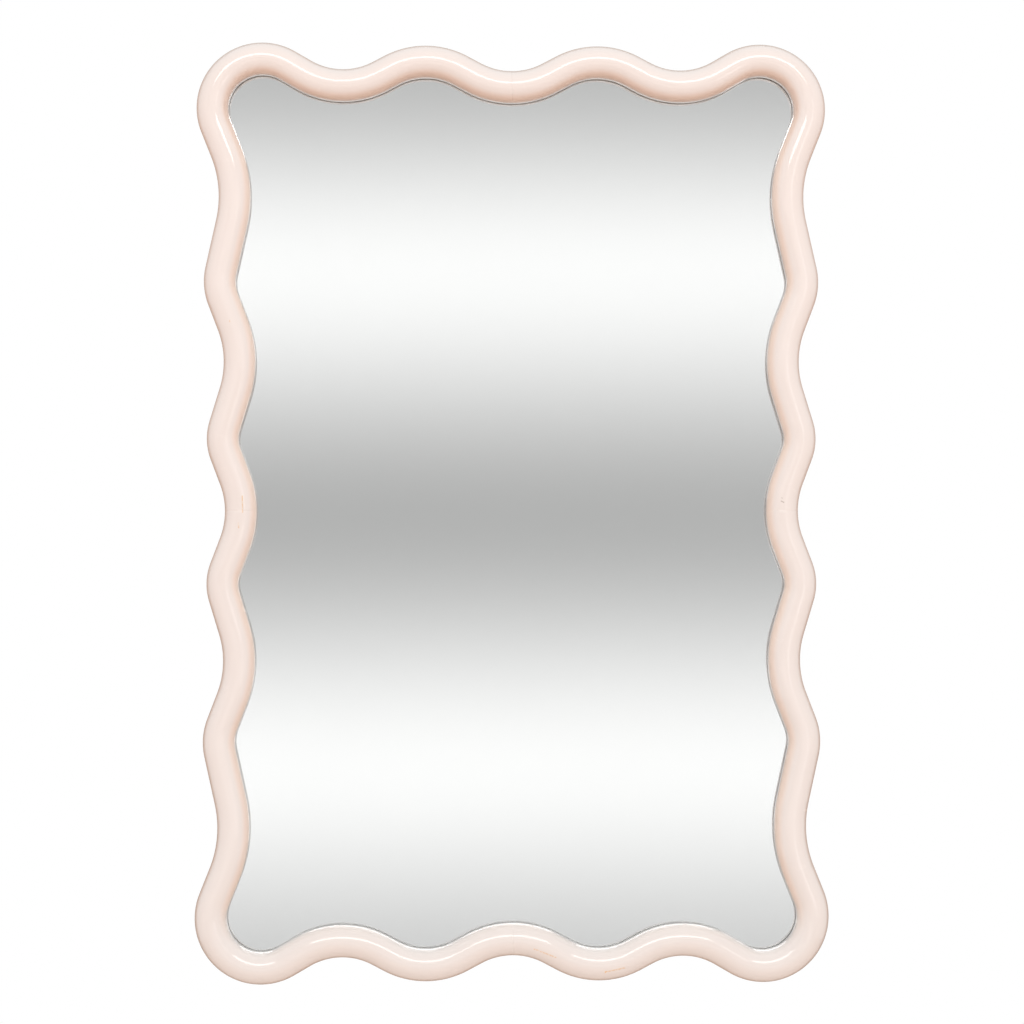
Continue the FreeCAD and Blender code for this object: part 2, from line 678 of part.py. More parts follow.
def check_and_write():
    doc.recompute()
    broken = [thing.Name for thing in doc.Objects if {"Invalid", "Error"} & set(thing.State)]
    empty = [thing.Label for thing in sub_parts if thing.Shape.isNull() or not thing.Shape.isValid()]
    if broken or empty:
        raise RuntimeError(f"failed objects {broken}, bad shapes {empty}")
    os.makedirs("parts", exist_ok=True)
    for thing in sub_parts:
        thing.Shape.exportStep(f"parts/{thing.Label}.step")
        print(f"{thing.Label}: {len(thing.Shape.Solids)} solids, {thing.Shape.Volume:.1f} mm3")


frame()
dowels()
pane("mirror_glass", "Derived.silvering_y", "Sizes.glass_thickness")
pane("mirror_silvering", "Derived.card_y", "Sizes.silvering_thickness")
pane("spacer_card", "Derived.board_y", "Sizes.card_thickness")
pane("backing_board", "Derived.back_y", "Sizes.board_thickness")
for button in button_sites():
    turn_button(button)
screw = screw_blank()
screw_group(screw, button_sites(), "turn_button_screws")
for hanger in hanger_sites():
    hanger_strap(hanger)
    hanger_ring(hanger)
screw_group(screw, hanger_screws(), "hanger_screws")
for corner, corner_name in QUARTERS.items():
    bumper(corner, corner_name)
check_and_write()
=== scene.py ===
import math
import bmesh
import bpy
from mathutils import Matrix, Vector


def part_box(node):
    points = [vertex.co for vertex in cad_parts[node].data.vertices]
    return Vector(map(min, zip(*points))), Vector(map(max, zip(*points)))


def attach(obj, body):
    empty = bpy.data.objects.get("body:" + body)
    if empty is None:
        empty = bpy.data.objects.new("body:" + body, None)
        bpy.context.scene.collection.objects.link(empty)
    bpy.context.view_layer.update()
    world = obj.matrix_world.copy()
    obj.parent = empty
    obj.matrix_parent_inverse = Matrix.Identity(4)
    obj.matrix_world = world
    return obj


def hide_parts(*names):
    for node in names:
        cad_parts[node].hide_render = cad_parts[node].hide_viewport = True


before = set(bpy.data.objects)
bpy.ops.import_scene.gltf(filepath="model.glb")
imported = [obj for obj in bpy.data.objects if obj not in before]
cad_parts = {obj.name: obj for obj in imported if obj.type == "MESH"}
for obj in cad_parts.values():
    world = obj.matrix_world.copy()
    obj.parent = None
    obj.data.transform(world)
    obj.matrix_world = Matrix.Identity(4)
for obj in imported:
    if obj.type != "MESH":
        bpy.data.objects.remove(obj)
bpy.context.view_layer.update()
scene = bpy.context.scene
scene.view_settings.view_transform = "Standard"
mm = 0.001
weldGap = 0.002 * mm    # points closer than this are one


# a node's socket, so that values can be reckoned with plain signs
class Wire:
    def __init__(self, net, socket):
        self.net, self.socket = net, socket

    def reckon(self, operation, *terms):
        values = dict(enumerate(terms))
        return self.net.add("ShaderNodeMath", {"operation": operation}, values)

    def __add__(self, other):
        return self.reckon("ADD", self, other)

    def __radd__(self, other):
        return self.reckon("ADD", other, self)

    def __sub__(self, other):
        return self.reckon("SUBTRACT", self, other)

    def __rsub__(self, other):
        return self.reckon("SUBTRACT", other, self)

    def __mul__(self, other):
        return self.reckon("MULTIPLY", self, other)

    def __rmul__(self, other):
        return self.reckon("MULTIPLY", other, self)

    def __truediv__(self, other):
        return self.reckon("DIVIDE", self, other)

    def __rtruediv__(self, other):
        return self.reckon("DIVIDE", other, self)

    def __pow__(self, other):
        return self.reckon("POWER", self, other)


# a node tree of either kind, with one way to add any node
class Net:
    def __init__(self, tree):
        self.tree = tree

    def find(self, sockets, key):
        if isinstance(key, int):
            return sockets[key]
        byId = [s for s in sockets if s.identifier == key]
        return (byId or [s for s in sockets if s.name == key and s.enabled])[0]

    def add(self, kind, settings=None, inputs=None, out=0):
        node = self.tree.nodes.new(kind)
        for name, value in (settings or {}).items():
            if name == "stops":
                ramp = node.color_ramp
                while len(ramp.elements) < len(value):
                    ramp.elements.new(0.5)
                for element, (place, tone) in zip(ramp.elements, value):
                    element.position, element.color = place, (*tone, 1)
            elif name == "ease":
                node.color_ramp.interpolation = value
            elif name == "items":
                while len(node.index_switch_items) < value:
                    node.index_switch_items.new()
            else:
                setattr(node, name, value)
        for key, value in (inputs or {}).items():
            socket = self.find(node.inputs, key)
            if isinstance(value, Wire):
                self.tree.links.new(value.socket, socket)
            else:
                socket.default_value = value
        return Wire(self, self.find(node.outputs, out)) if len(node.outputs) else node

    def blend(self, share, first, second):
        tones = [(*tone, 1) if isinstance(tone, tuple) else tone for tone in (first, second)]
        return self.add("ShaderNodeMix", {"data_type": "RGBA"},
                        {"Factor_Float": share, "A_Color": tones[0], "B_Color": tones[1]}, "Result_Color")

    def step(self, value, low, high, start=0.0, end=1.0):
        return self.add("ShaderNodeMapRange", {"interpolation_type": "SMOOTHSTEP"},
                        {0: value, 1: low, 2: high, 3: start, 4: end})

    def noise(self, where, scale, detail=2.0, roughness=0.5):
        return self.add("ShaderNodeTexNoise", None,
                        {"Vector": where, "Scale": scale, "Detail": detail, "Roughness": roughness}, "Fac")

    def bump(self, height, size):
        # the size is a strength with a depth in mm
        strength, depth = size
        return self.add("ShaderNodeBump", None,
                        {"Height": height, "Strength": strength, "Distance": depth * mm})

    def stretched(self, where, scale):
        return self.add("ShaderNodeMapping", None, {"Vector": where, "Scale": scale})


def placed(name, data):
    thing = bpy.data.objects.new(name, data)
    scene.collection.objects.link(thing)
    return thing


# camera: square on, a little low and left of the middle
cameraSet = {
    "distance": 2.3,
    "lean": (0.01043, 0.01125),    # slope of the view across and up, for each metre of distance
    "aim": (-0.15 * mm, -19.5 * mm, -0.86 * mm),
    "viewWidth": 996.5 * mm,
    "roll": -0.00106,
    "sensor": 36.0,
}


def placeCamera():
    away = cameraSet["distance"]
    across, up = (slope * away for slope in cameraSet["lean"])
    ahead = Vector((across, 1, up)).normalized()
    data = bpy.data.cameras.new("viewCamera")
    data.sensor_width = cameraSet["sensor"]
    data.lens = cameraSet["sensor"] * away / cameraSet["viewWidth"]
    camera = placed("viewCamera", data)
    camera.location = Vector(cameraSet["aim"]) - ahead * away
    turn = ahead.to_track_quat("-Z", "Y").to_matrix() @ Matrix.Rotation(cameraSet["roll"], 3, "Z")
    camera.rotation_euler = turn.to_euler()
    scene.camera = camera
    return camera


viewCamera = placeCamera()
print("camera placed at", [round(c, 3) for c in viewCamera.location])


# finishes
def newFinish(name):
    finish = bpy.data.materials.new(name)
    finish.use_nodes = True
    finish.node_tree.nodes.clear()
    net = Net(finish.node_tree)
    where = net.add("ShaderNodeTexCoord", None, None, "Object")
    return finish, net, where


def surface(net, inputs):
    shader = net.add("ShaderNodeBsdfPrincipled", None, inputs)
    net.add("ShaderNodeOutputMaterial", None, {"Surface": shader})


def axes(net, where):
    return [net.add("ShaderNodeSeparateXYZ", None, {0: where}, axis) for axis in "XYZ"]


# the frame's sizes in mm, with the rule of its waves
railSet = {
    "width": 614, "height": 914, "rail": 31, "corner": 48.5,
    "side": {"depth": 17.3, "flare": 11, "growth": 4, "run": 26, "share": 0.325, "count": 5},
    "end": {"depth": 24.3, "flare": 2.7, "growth": -2.8, "run": 13, "share": 0.48, "count": 3},
    "back": 6, "front": 35, "lip": 13.6, "rebate": 8, "backRound": 2, "lipRound": 1.6,
    "spacing": 2.5, "seamWidth": 0.35, "roundSteps": 26,
    # how far each joint sinks, as a share of the section
    "pinch": {"side": 0.003, "top": 0.008, "bottom": 0.003},
}

lacquerSet = {
    # the edge tone is painted shade round the outer edge, and the lip tone a painted highlight on the lip
    # wall
    "face": (0.820, 0.777, 0.750), "edge": (0.790, 0.600, 0.490), "lip": (0.955, 0.935, 0.915),
    "slope": (0.955, 0.795, 0.690), "slopeLow": (0.915, 0.860, 0.822), "slopeHigh": (0.830, 0.665, 0.565),
    # heights in mm between which the slope takes the bottom rail's tone (painted light), and the top one's
    # (painted shade)
    "lowFade": (-420, -360), "highFade": (340, 410),
    # places across the rail, from -1 at the lip to 1 outside, between which each tone comes in
    "rimFade": (0.0, 0.5), "slopeFade": (-0.50, -0.93), "lipHighlightFade": (-0.90, -0.985), "sideFade": (0.80, 0.95),
    "sprayFade": (0.86, 1.08), "rebateFade": ((-0.80, -0.70), (-0.44, -0.47)),
    "cloud": 9.0, "grit": 900.0, "fibre": 700.0, "spray": 260.0, "peel": 420.0, "peelShare": 0.05,
    "bump": (0.25, 0.15), "rough": 0.22, "specular": 0.2,
    "coat": 0.6, "coatRoughness": 0.03, "coatIor": 1.8, "dulling": 0.8,
    "scuff": (0.76, 0.46, 0.19), "nick": (0.42, 0.36, 0.32), "wear": 0.7,
    "board": (0.56, 0.42, 0.29), "boardDark": (0.43, 0.31, 0.20), "glue": (0.20, 0.13, 0.08),
    # marks on the rail: both ends across and up, and the width, in mm
    "scuffs": [((-260.7, 14.1), (-260.3, -1.5), 1.1), ((-264.5, -12.1), (-264.1, -16.1), 1.3),
               ((20.3, -422.0), (41.1, -430.1), 1.2), ((89.2, -444.5), (107.7, -440.5), 1.3),
               ((89.0, -444.6), (89.6, -444.4), 1.9), ((-273.3, 183.8), (-273.1, 183.0), 1.1)],
    "nicks": [((260.6, 9.2), (263.0, 8.0), 1.0), ((261.0, 12.4), (261.8, 12.0), 0.6)],
    "markFade": (0.2, 0.8),    # a mark is full within the first share of its width, and gone by the second
}


def marked(net, across, up, marks):
    # how far each point lies within a mark
    found = 0.0
    full, gone = lacquerSet["markFade"]
    for (ax, az), (bx, bz), wide in marks:
        start = Vector((ax, az)) * mm
        way = Vector((bx, bz)) * mm - start
        length = way.length
        way.normalize()
        along = (across - start.x) * way.x + (up - start.y) * way.y
        over = along - along.reckon("MINIMUM", along.reckon("MAXIMUM", along, 0.0), length)
        off = (up - start.y) * way.x - (across - start.x) * way.y
        gap = (off * off + over * over) ** 0.5
        found = found + net.step(gap, full * wide * mm, gone * wide * mm, 1.0, 0.0)
    return found


def blushLacquer():
    finish, net, where = newFinish("blushLacquer")
    x, y, z = axes(net, where)
    half = railSet["rail"] / 2
    shoulder = -(railSet["front"] - half) * mm
    lipBack, backFace = -railSet["lip"] * mm, -railSet["back"] * mm
    across = net.add("ShaderNodeAttribute", {"attribute_name": "across"}, None, "Fac")
    # painted shade: the tone turns darker and warmer round the outer edge, where the round turns away from
    # the light
    rim = net.step(y, shoulder, shoulder - 0.7 * half * mm, 1.0, 0.0)
    rim = rim * net.step(across, *lacquerSet["rimFade"])
    cloud = net.noise(where, lacquerSet["cloud"], 3.0)
    tone = net.blend(rim, lacquerSet["face"], lacquerSet["edge"])
    tone = net.blend(cloud * 0.10, tone, lacquerSet["edge"])
    # painted shade and light on the inner slope: darker and warmer under the top rail, warm on the sides, and
    # paler on the bottom rail, where the slope faces up
    low, high = (net.step(z, *(up * mm for up in lacquerSet[fade])) for fade in ("lowFade", "highFade"))
    slope = net.blend(low, lacquerSet["slopeLow"], lacquerSet["slope"])
    slope = net.blend(high, slope, lacquerSet["slopeHigh"])
    tone = net.blend(net.step(across, *lacquerSet["slopeFade"]), tone, slope)
    # painted highlight: the lip wall is near white, for the bright line along the inner edge
    lipHighlight = net.step(across, *lacquerSet["lipHighlightFade"]) * net.step(y, shoulder - 1.5 * mm, shoulder)
    tone = net.blend(lipHighlight, tone, lacquerSet["lip"])
    # scuffs and nicks, on the front only
    fore = net.step(y, shoulder, shoulder - 2 * mm)
    grit = net.step(net.noise(where, lacquerSet["grit"], 2.0), 0.30, 0.60)
    scuffed = marked(net, x, z, lacquerSet["scuffs"]) * grit * fore
    nicked = marked(net, x, z, lacquerSet["nicks"]) * fore
    tone = net.blend(scuffed * lacquerSet["wear"], tone, lacquerSet["scuff"])
    tone = net.blend(nicked * lacquerSet["wear"], tone, lacquerSet["nick"])
    # the back and the rebate are bare board, with a ragged edge of overspray
    fibre = net.noise(net.stretched(where, [lacquerSet["fibre"]] * 3), 1.0, 4.0, 0.7)
    board = net.blend(fibre, lacquerSet["boardDark"], lacquerSet["board"])
    joint = x.reckon("MINIMUM", x.reckon("ABSOLUTE", x), z.reckon("ABSOLUTE", z))
    board = net.blend(net.step(joint, 0.1 * mm, 0.4 * mm, 0.8, 0.0), board, lacquerSet["glue"])
    ragged = net.noise(where, lacquerSet["spray"], 5.0, 0.7) * 0.24
    sprayed = net.step(across + ragged, *lacquerSet["sprayFade"])
    bare = net.step(y, backFace - 1.2 * mm, backFace - 0.2 * mm) * (1 - sprayed)
    inside = net.step(y, lipBack - 0.3 * mm, lipBack + 0.3 * mm)
    for fade in lacquerSet["rebateFade"]:
        inside = inside * net.step(across, *fade)
    bare = bare.reckon("MAXIMUM", bare, inside)
    tone = net.blend(bare, tone, board)
    peel = net.noise(where, lacquerSet["peel"], 1.0) * (1 - bare) * lacquerSet["peelShare"]
    # the straight outer sides took a thinner, duller coat
    dull = net.step(y, shoulder, shoulder + 4 * mm) * net.step(across, *lacquerSet["sideFade"])
    rough = net.noise(where, 60.0, 3.0) * 0.08 + lacquerSet["rough"] + bare * 0.5 + scuffed * 0.3 + dull * 0.2
    surface(net, {"Base Color": tone, "Roughness": rough, "Specular IOR Level": lacquerSet["specular"],
                  "Coat Weight": (1 - bare) * (1 - dull * lacquerSet["dulling"]) * lacquerSet["coat"],
                  "Coat Roughness": lacquerSet["coatRoughness"], "Coat IOR": lacquerSet["coatIor"],
                  "Normal": net.bump(peel + fibre * bare, lacquerSet["bump"])})
    return finish


glassSet = {"tint": (0.978, 0.984, 0.981), "film": (0.985, 0.992, 0.988), "filmScale": 7.0, "haze": 0.004,
            "ior": 1.52}


def floatGlass():
    finish, net, where = newFinish("floatGlass")
    film = net.noise(where, glassSet["filmScale"], 3.0)
    tone = net.blend(film, glassSet["tint"], glassSet["film"])
    surface(net, {"Base Color": tone, "Roughness": net.step(film, 0.5, 0.9) * glassSet["haze"],
                  "IOR": glassSet["ior"], "Transmission Weight": 1.0})
    return finish


silverSet = {"silver": (0.945, 0.940, 0.938), "paint": (0.20, 0.22, 0.23), "paintDark": (0.14, 0.155, 0.165),
             "back": -10.5, "thick": 0.05, "weld": 0.001, "fade": 0.01, "speckle": 260.0, "rough": 0.55,
             "bump": (0.2, 0.1)}


def silveredCoat():
    finish, net, where = newFinish("silveredCoat")
    x, y, z = axes(net, where)
    middle, fade = silverSet["back"] - silverSet["thick"] / 2, silverSet["fade"]
    painted = net.step(y, (middle - fade) * mm, (middle + fade) * mm)
    speckle = net.noise(where, silverSet["speckle"], 3.0)
    paint = net.blend(speckle, silverSet["paintDark"], silverSet["paint"])
    surface(net, {"Base Color": net.blend(painted, silverSet["silver"], paint), "Metallic": 1 - painted,
                  "Roughness": painted * silverSet["rough"],
                  "Normal": net.bump(speckle * painted, silverSet["bump"])})
    return finish


cardSet = {"kraft": (0.47, 0.33, 0.20), "dark": (0.33, 0.22, 0.13), "flute": 3.2, "fibre": (900, 900, 240),
           "rough": 0.8, "bump": (0.35, 0.12)}


def corrugatedCard():
    finish, net, where = newFinish("corrugatedCard")
    x, y, z = axes(net, where)
    pitch = 2 * math.pi / (cardSet["flute"] * mm)
    ridge = x.reckon("SINE", x * pitch)
    fibre = net.noise(net.stretched(where, cardSet["fibre"]), 1.0, 4.0, 0.65)
    tone = net.blend(fibre, cardSet["dark"], cardSet["kraft"])
    tone = net.blend(net.step(ridge, -1.0, 1.0) * 0.12, tone, cardSet["dark"])
    surface(net, {"Base Color": tone, "Roughness": fibre * 0.15 + cardSet["rough"],
                  "Normal": net.bump(ridge * 0.5 + fibre * 0.3, cardSet["bump"])})
    return finish


hardboardSet = {"pale": (0.27, 0.155, 0.080), "dark": (0.155, 0.085, 0.042), "fleck": (0.42, 0.27, 0.15),
                "mesh": 1.6, "fibre": (520, 520, 300), "flecks": (1500, 1500, 420), "blotch": 14.0,
                "rough": 0.62, "bump": (0.5, 0.15)}


def pressedBoard():
    finish, net, where = newFinish("pressedBoard")
    x, y, z = axes(net, where)
    pitch = 2 * math.pi / (hardboardSet["mesh"] * mm)
    weave = x.reckon("SINE", x * pitch) * z.reckon("SINE", z * pitch)
    fibre = net.noise(net.stretched(where, hardboardSet["fibre"]), 1.0, 5.0, 0.7)
    blotch = net.noise(where, hardboardSet["blotch"], 4.0)
    share = fibre * 0.6 + net.step(blotch, 0.3, 0.7) * 0.4
    tone = net.blend(share, hardboardSet["dark"], hardboardSet["pale"])
    fleck = net.step(net.noise(net.stretched(where, hardboardSet["flecks"]), 1.0, 2.0), 0.66, 0.74)
    tone = net.blend(fleck * 0.4, tone, hardboardSet["fleck"])
    tone = net.blend(net.step(weave, 0.2, 0.9) * 0.22, tone, hardboardSet["dark"])
    surface(net, {"Base Color": tone, "Roughness": fibre * 0.2 + hardboardSet["rough"],
                  "Normal": net.bump(weave * 0.4 + fibre * 0.5, hardboardSet["bump"])})
    return finish


steelSet = {"bright": (0.80, 0.80, 0.80), "cool": (0.66, 0.69, 0.74), "warm": (0.72, 0.66, 0.52),
            "patch": 330.0, "film": 55.0, "brushing": (5200, 5200, 900), "rough": 0.22, "bump": (0.12, 0.03)}


def zincSteel():
    finish, net, where = newFinish("zincSteel")
    patch = net.noise(where, steelSet["patch"], 2.0)
    film = net.noise(where, steelSet["film"], 2.0)
    fine = net.noise(net.stretched(where, steelSet["brushing"]), 1.0, 3.0)
    tone = net.blend(patch, steelSet["bright"], steelSet["cool"])
    tone = net.blend(net.step(film, 0.55, 0.75) * 0.35, tone, steelSet["warm"])
    surface(net, {"Base Color": tone, "Metallic": 1.0,
                  "Roughness": patch * 0.16 + fine * 0.12 + steelSet["rough"],
                  "Normal": net.bump(fine + patch * 0.5, steelSet["bump"])})
    return finish


rubberSet = {"grey": (0.035, 0.035, 0.037), "dust": (0.11, 0.105, 0.10), "grain": 2600.0, "dusting": 240.0,
             "rough": 0.5, "bump": (0.3, 0.05)}


def bumperRubber():
    finish, net, where = newFinish("bumperRubber")
    grain = net.noise(where, rubberSet["grain"], 3.0)
    dusty = net.step(net.noise(where, rubberSet["dusting"], 4.0), 0.45, 0.8)
    surface(net, {"Base Color": net.blend(dusty * 0.5, rubberSet["grey"], rubberSet["dust"]),
                  "Roughness": grain * 0.15 + dusty * 0.15 + rubberSet["rough"],
                  "Normal": net.bump(grain, rubberSet["bump"])})
    return finish


beechSet = {"pale": (0.62, 0.42, 0.25), "dark": (0.47, 0.29, 0.16), "across": 1500.0, "along": 60.0,
            "rays": 1.8, "rough": 0.55, "bump": (0.4, 0.1)}


def beechDowel(name, lengthwise):
    finish, net, where = newFinish(name)
    scale = [beechSet["across"]] * 3
    scale[lengthwise] = beechSet["along"]
    grain = net.noise(net.stretched(where, scale), 1.0, 4.0, 0.6)
    finer = [s * beechSet["rays"] for s in scale]
    ray = net.step(net.noise(net.stretched(where, finer), 1.0, 2.0), 0.6, 0.75)
    tone = net.blend(grain, beechSet["dark"], beechSet["pale"])
    surface(net, {"Base Color": net.blend(ray * 0.5, tone, beechSet["dark"]),
                  "Roughness": grain * 0.2 + beechSet["rough"], "Normal": net.bump(grain, beechSet["bump"])})
    return finish


lacquer, steel, rubber, silver = blushLacquer(), zincSteel(), bumperRubber(), silveredCoat()
# CAD nodes that stay as they are, with the finish of each
plainFinishes = {"mirror_glass": floatGlass(), "spacer_card": corrugatedCard(),
                 "backing_board": pressedBoard()}
for side, lengthwise in (("right", 2), ("left", 2), ("top", 0), ("bottom", 0)):
    plainFinishes[f"dowels_{side}"] = beechDowel(f"beechDowel.{side}", lengthwise)
for node, finish in plainFinishes.items():
    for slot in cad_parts[node].material_slots:
        slot.material = finish
print("finishes made,", len(plainFinishes), "of them on CAD nodes")


# node trees that make meshes
def newTree(name, sockets):
    tree = bpy.data.node_groups.new(name, "GeometryNodeTree")
    tree.interface.new_socket("Geometry", in_out="OUTPUT", socket_type="NodeSocketGeometry")
    tree.interface.new_socket("Geometry", in_out="INPUT", socket_type="NodeSocketGeometry")
    for label, kind in sockets.items():
        tree.interface.new_socket(label, in_out="INPUT", socket_type=f"NodeSocket{kind}")
    net = Net(tree)
    source = tree.nodes.new("NodeGroupInput")
    given = {s.name: Wire(net, s) for s in source.outputs if s.name}
    return tree, net, given


def closeTree(net, geometry, finish):
    whole = net.add("GeometryNodeRealizeInstances", None, {"Geometry": geometry})
    dressed = net.add("GeometryNodeSetMaterial", None, {"Geometry": whole, "Material": finish})
    net.add("NodeGroupOutput", None, {"Geometry": dressed})


def joined(net, mesh):
    # where two rounds of a path or section meet, their end points fall together
    return net.add("GeometryNodeMergeByDistance", None, {"Geometry": mesh, "Distance": weldGap})


def baked(thing):
    # the evaluated shape as a plain mesh
    bpy.context.view_layer.update()
    ready = thing.evaluated_get(bpy.context.evaluated_depsgraph_get())
    return bpy.data.meshes.new_from_object(ready)


def grown(name, mesh, tree, values):
    thing = placed(name, mesh)
    modifier = thing.modifiers.new("grow", "NODES")
    modifier.node_group = tree
    ids = {item.name: item.identifier for item in tree.interface.items_tree if item.in_out == "INPUT"}
    for label, value in values.items():
        modifier[ids[label]] = value
    made = baked(thing)
    thing.modifiers.clear()
    thing.data = made
    made.name = name
    bpy.data.meshes.remove(mesh)
    return thing


def smoothed(thing, angle=35):
    for face in thing.data.polygons:
        face.use_smooth = True
    thing.data.set_sharp_from_angle(angle=math.radians(angle))
    return thing


def onBody(thing, body, slot, *nodes):
    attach(thing, body)
    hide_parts(*nodes)
    return thing


# the frame's path: round pegs with a belt drawn between them, for the quarter at the top right
def wavePegs(kind, overall, reach):
    wave = railSet[kind]
    count, half = wave["count"], railSet["rail"] / 2
    station = [reach * k / count + wave["growth"] * k * (k - count) / 2 for k in range(count + 1)]
    apex = [overall / 2 - half - wave["flare"] * (1 - (s / reach) ** 2) - (0 if k % 2 else wave["depth"])
            for k, s in enumerate(station)]
    bend = []
    for k in range(count):
        rise = abs(apex[k + 1] - apex[k])
        bend.append(((station[k + 1] - station[k]) ** 2 + rise ** 2 - wave["run"] ** 2) / (2 * rise))
    pegs = []
    for k in range(count):
        turn = 1 if k % 2 else -1
        share = wave["share"] if turn > 0 else 1 - wave["share"]
        after = bend[k] - railSet["corner"] if k == count - 1 else share * bend[k]
        radius = min(share * bend[max(k - 1, 0)], after)
        out = apex[k] - turn * radius
        pegs.append((out, station[k], radius, turn) if kind == "side" else (station[k], out, radius, turn))
    return pegs, apex, station


halfRail = railSet["rail"] / 2
cornerX = railSet["width"] / 2 - halfRail - railSet["corner"]
cornerZ = railSet["height"] / 2 - halfRail - railSet["corner"]
sidePegs, sideApex, sideStation = wavePegs("side", railSet["width"], cornerZ)
endPegs, endApex, endStation = wavePegs("end", railSet["height"], cornerX)


def quarterPath():
    pegs = sidePegs + [(cornerX, cornerZ, railSet["corner"], 1)] + endPegs[::-1]
    headings = [math.pi / 2]
    for (x1, z1, r1, t1), (x2, z2, r2, t2) in zip(pegs, pegs[1:]):
        lean = math.asin((t2 * r2 - t1 * r1) / math.hypot(x2 - x1, z2 - z1))
        headings.append((math.atan2(z2 - z1, x2 - x1) - lean) % (2 * math.pi))
    headings.append(math.pi)
    points = []
    for (x, z, radius, turn), before, after in zip(pegs, headings, headings[1:]):
        first, last = (heading - turn * math.pi / 2 for heading in (before, after))
        steps = max(2, math.ceil(abs(last - first) * radius / railSet["spacing"]))
        arc = [(x + radius * math.cos(a), z + radius * math.sin(a))
               for a in (first + (last - first) * i / steps for i in range(steps + 1))]
        if points:
            (x0, z0), (x1, z1) = points[-1], arc[0]
            cuts = max(1, math.ceil(math.hypot(x1 - x0, z1 - z0) / railSet["spacing"]))
            points += [(x0 + (x1 - x0) * i / cuts, z0 + (z1 - z0) * i / cuts) for i in range(1, cuts)]
        points += arc
    # a close pair of points at each end carries the seam
    seam = railSet["seamWidth"]
    points.insert(1, (points[0][0], seam))
    points.insert(-1, (seam, points[-1][1]))
    return points


def railTree():
    tree, net, given = newTree("railSweep", {
        "Rail Width": "Float", "Front Depth": "Float", "Lip Depth": "Float", "Back Depth": "Float",
        "Rebate Width": "Float", "Back Round": "Float", "Lip Round": "Float", "Round Steps": "Int",
        "Finish": "Material"})
    half = given["Rail Width"] * 0.5
    wall = given["Rebate Width"] - half
    front, lip, back = given["Front Depth"], given["Lip Depth"], given["Back Depth"]
    # section corners as (depth, across), with the round of each
    corners = [(back, wall, 0.0), (lip, wall, 0.0), (lip, half * -1, given["Lip Round"]),
               (front, half * -1, half), (front, half, half), (back, half, given["Back Round"])]
    index = net.add("GeometryNodeInputIndex")
    places = {str(i): net.add("ShaderNodeCombineXYZ", None, {0: depth, 1: across})
              for i, (depth, across, turn) in enumerate(corners)}
    rounds = {str(i): turn for i, (depth, across, turn) in enumerate(corners)}
    corner = net.add("GeometryNodeIndexSwitch", {"data_type": "VECTOR", "items": len(corners)},
                     {"Index": index, **places})
    turn = net.add("GeometryNodeIndexSwitch", {"data_type": "FLOAT", "items": len(corners)},
                   {"Index": index, **rounds})
    section = net.add("GeometryNodeMeshLine", None, {"Count": len(corners)})
    section = net.add("GeometryNodeMeshToCurve", None, {"Mesh": section})
    section = net.add("GeometryNodeSetSplineCyclic", None, {"Geometry": section, "Cyclic": True})
    section = net.add("GeometryNodeSetPosition", None, {"Geometry": section, "Position": corner})
    section = net.add("GeometryNodeFilletCurve", {"mode": "POLY"},
                      {"Curve": section, "Count": given["Round Steps"], "Radius": turn})
    place = net.add("GeometryNodeInputPosition")
    across = net.add("ShaderNodeSeparateXYZ", None, {0: place}, "Y") / half
    section = net.add("GeometryNodeStoreNamedAttribute", {"data_type": "FLOAT", "domain": "POINT"},
                      {"Geometry": section, "Name": "across", "Value": across})
    path = net.add("GeometryNodeMeshToCurve", None, {"Mesh": given["Geometry"]})
    path = net.add("GeometryNodeSetCurveNormal", {"mode": "FREE"}, {"Curve": path, "Normal": (0, -1, 0)})
    pinch = net.add("GeometryNodeInputNamedAttribute", {"data_type": "FLOAT"}, {"Name": "pinch"})
    rail = net.add("GeometryNodeCurveToMesh", None,
                   {"Curve": path, "Profile Curve": section, "Scale": 1 - pinch, "Fill Caps": True})
    closeTree(net, joined(net, rail), given["Finish"])
    return tree


def makeFrame():
    tree, points = railTree(), quarterPath()
    sizes = {"Rail Width": "rail", "Front Depth": "front", "Lip Depth": "lip", "Back Depth": "back",
             "Rebate Width": "rebate", "Back Round": "backRound", "Lip Round": "lipRound"}
    values = {label: railSet[size] * mm for label, size in sizes.items()}
    values.update({"Round Steps": railSet["roundSteps"], "Finish": lacquer})
    for xSign, zSign, name in ((1, 1, "top_right"), (-1, 1, "top_left"), (1, -1, "bottom_right"),
                               (-1, -1, "bottom_left")):
        words = name.split("_")
        track = [(xSign * x * mm, 0.0, zSign * z * mm) for x, z in points]
        pinch = [0.0] * len(track)
        pinch[0], pinch[-1] = railSet["pinch"]["side"], railSet["pinch"][words[0]]
        if xSign * zSign < 0:
            track.reverse()
            pinch.reverse()
        mesh = bpy.data.meshes.new("railPath")
        mesh.from_pydata(track, [(i, i + 1) for i in range(len(track) - 1)], [])
        mesh.attributes.new("pinch", "FLOAT", "POINT").data.foreach_set("value", pinch)
        quarter = grown("frame" + "".join(word.title() for word in words), mesh, tree, values)
        onBody(smoothed(quarter), "mirror", "lacquered_frame", f"frame_{name}")
        low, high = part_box(f"frame_{name}")
        corners = [round(c, 4) for c in (*low, *high)]
        print(quarter.name, len(quarter.data.polygons), "faces, CAD box", corners)


makeFrame()
print("frame swept")


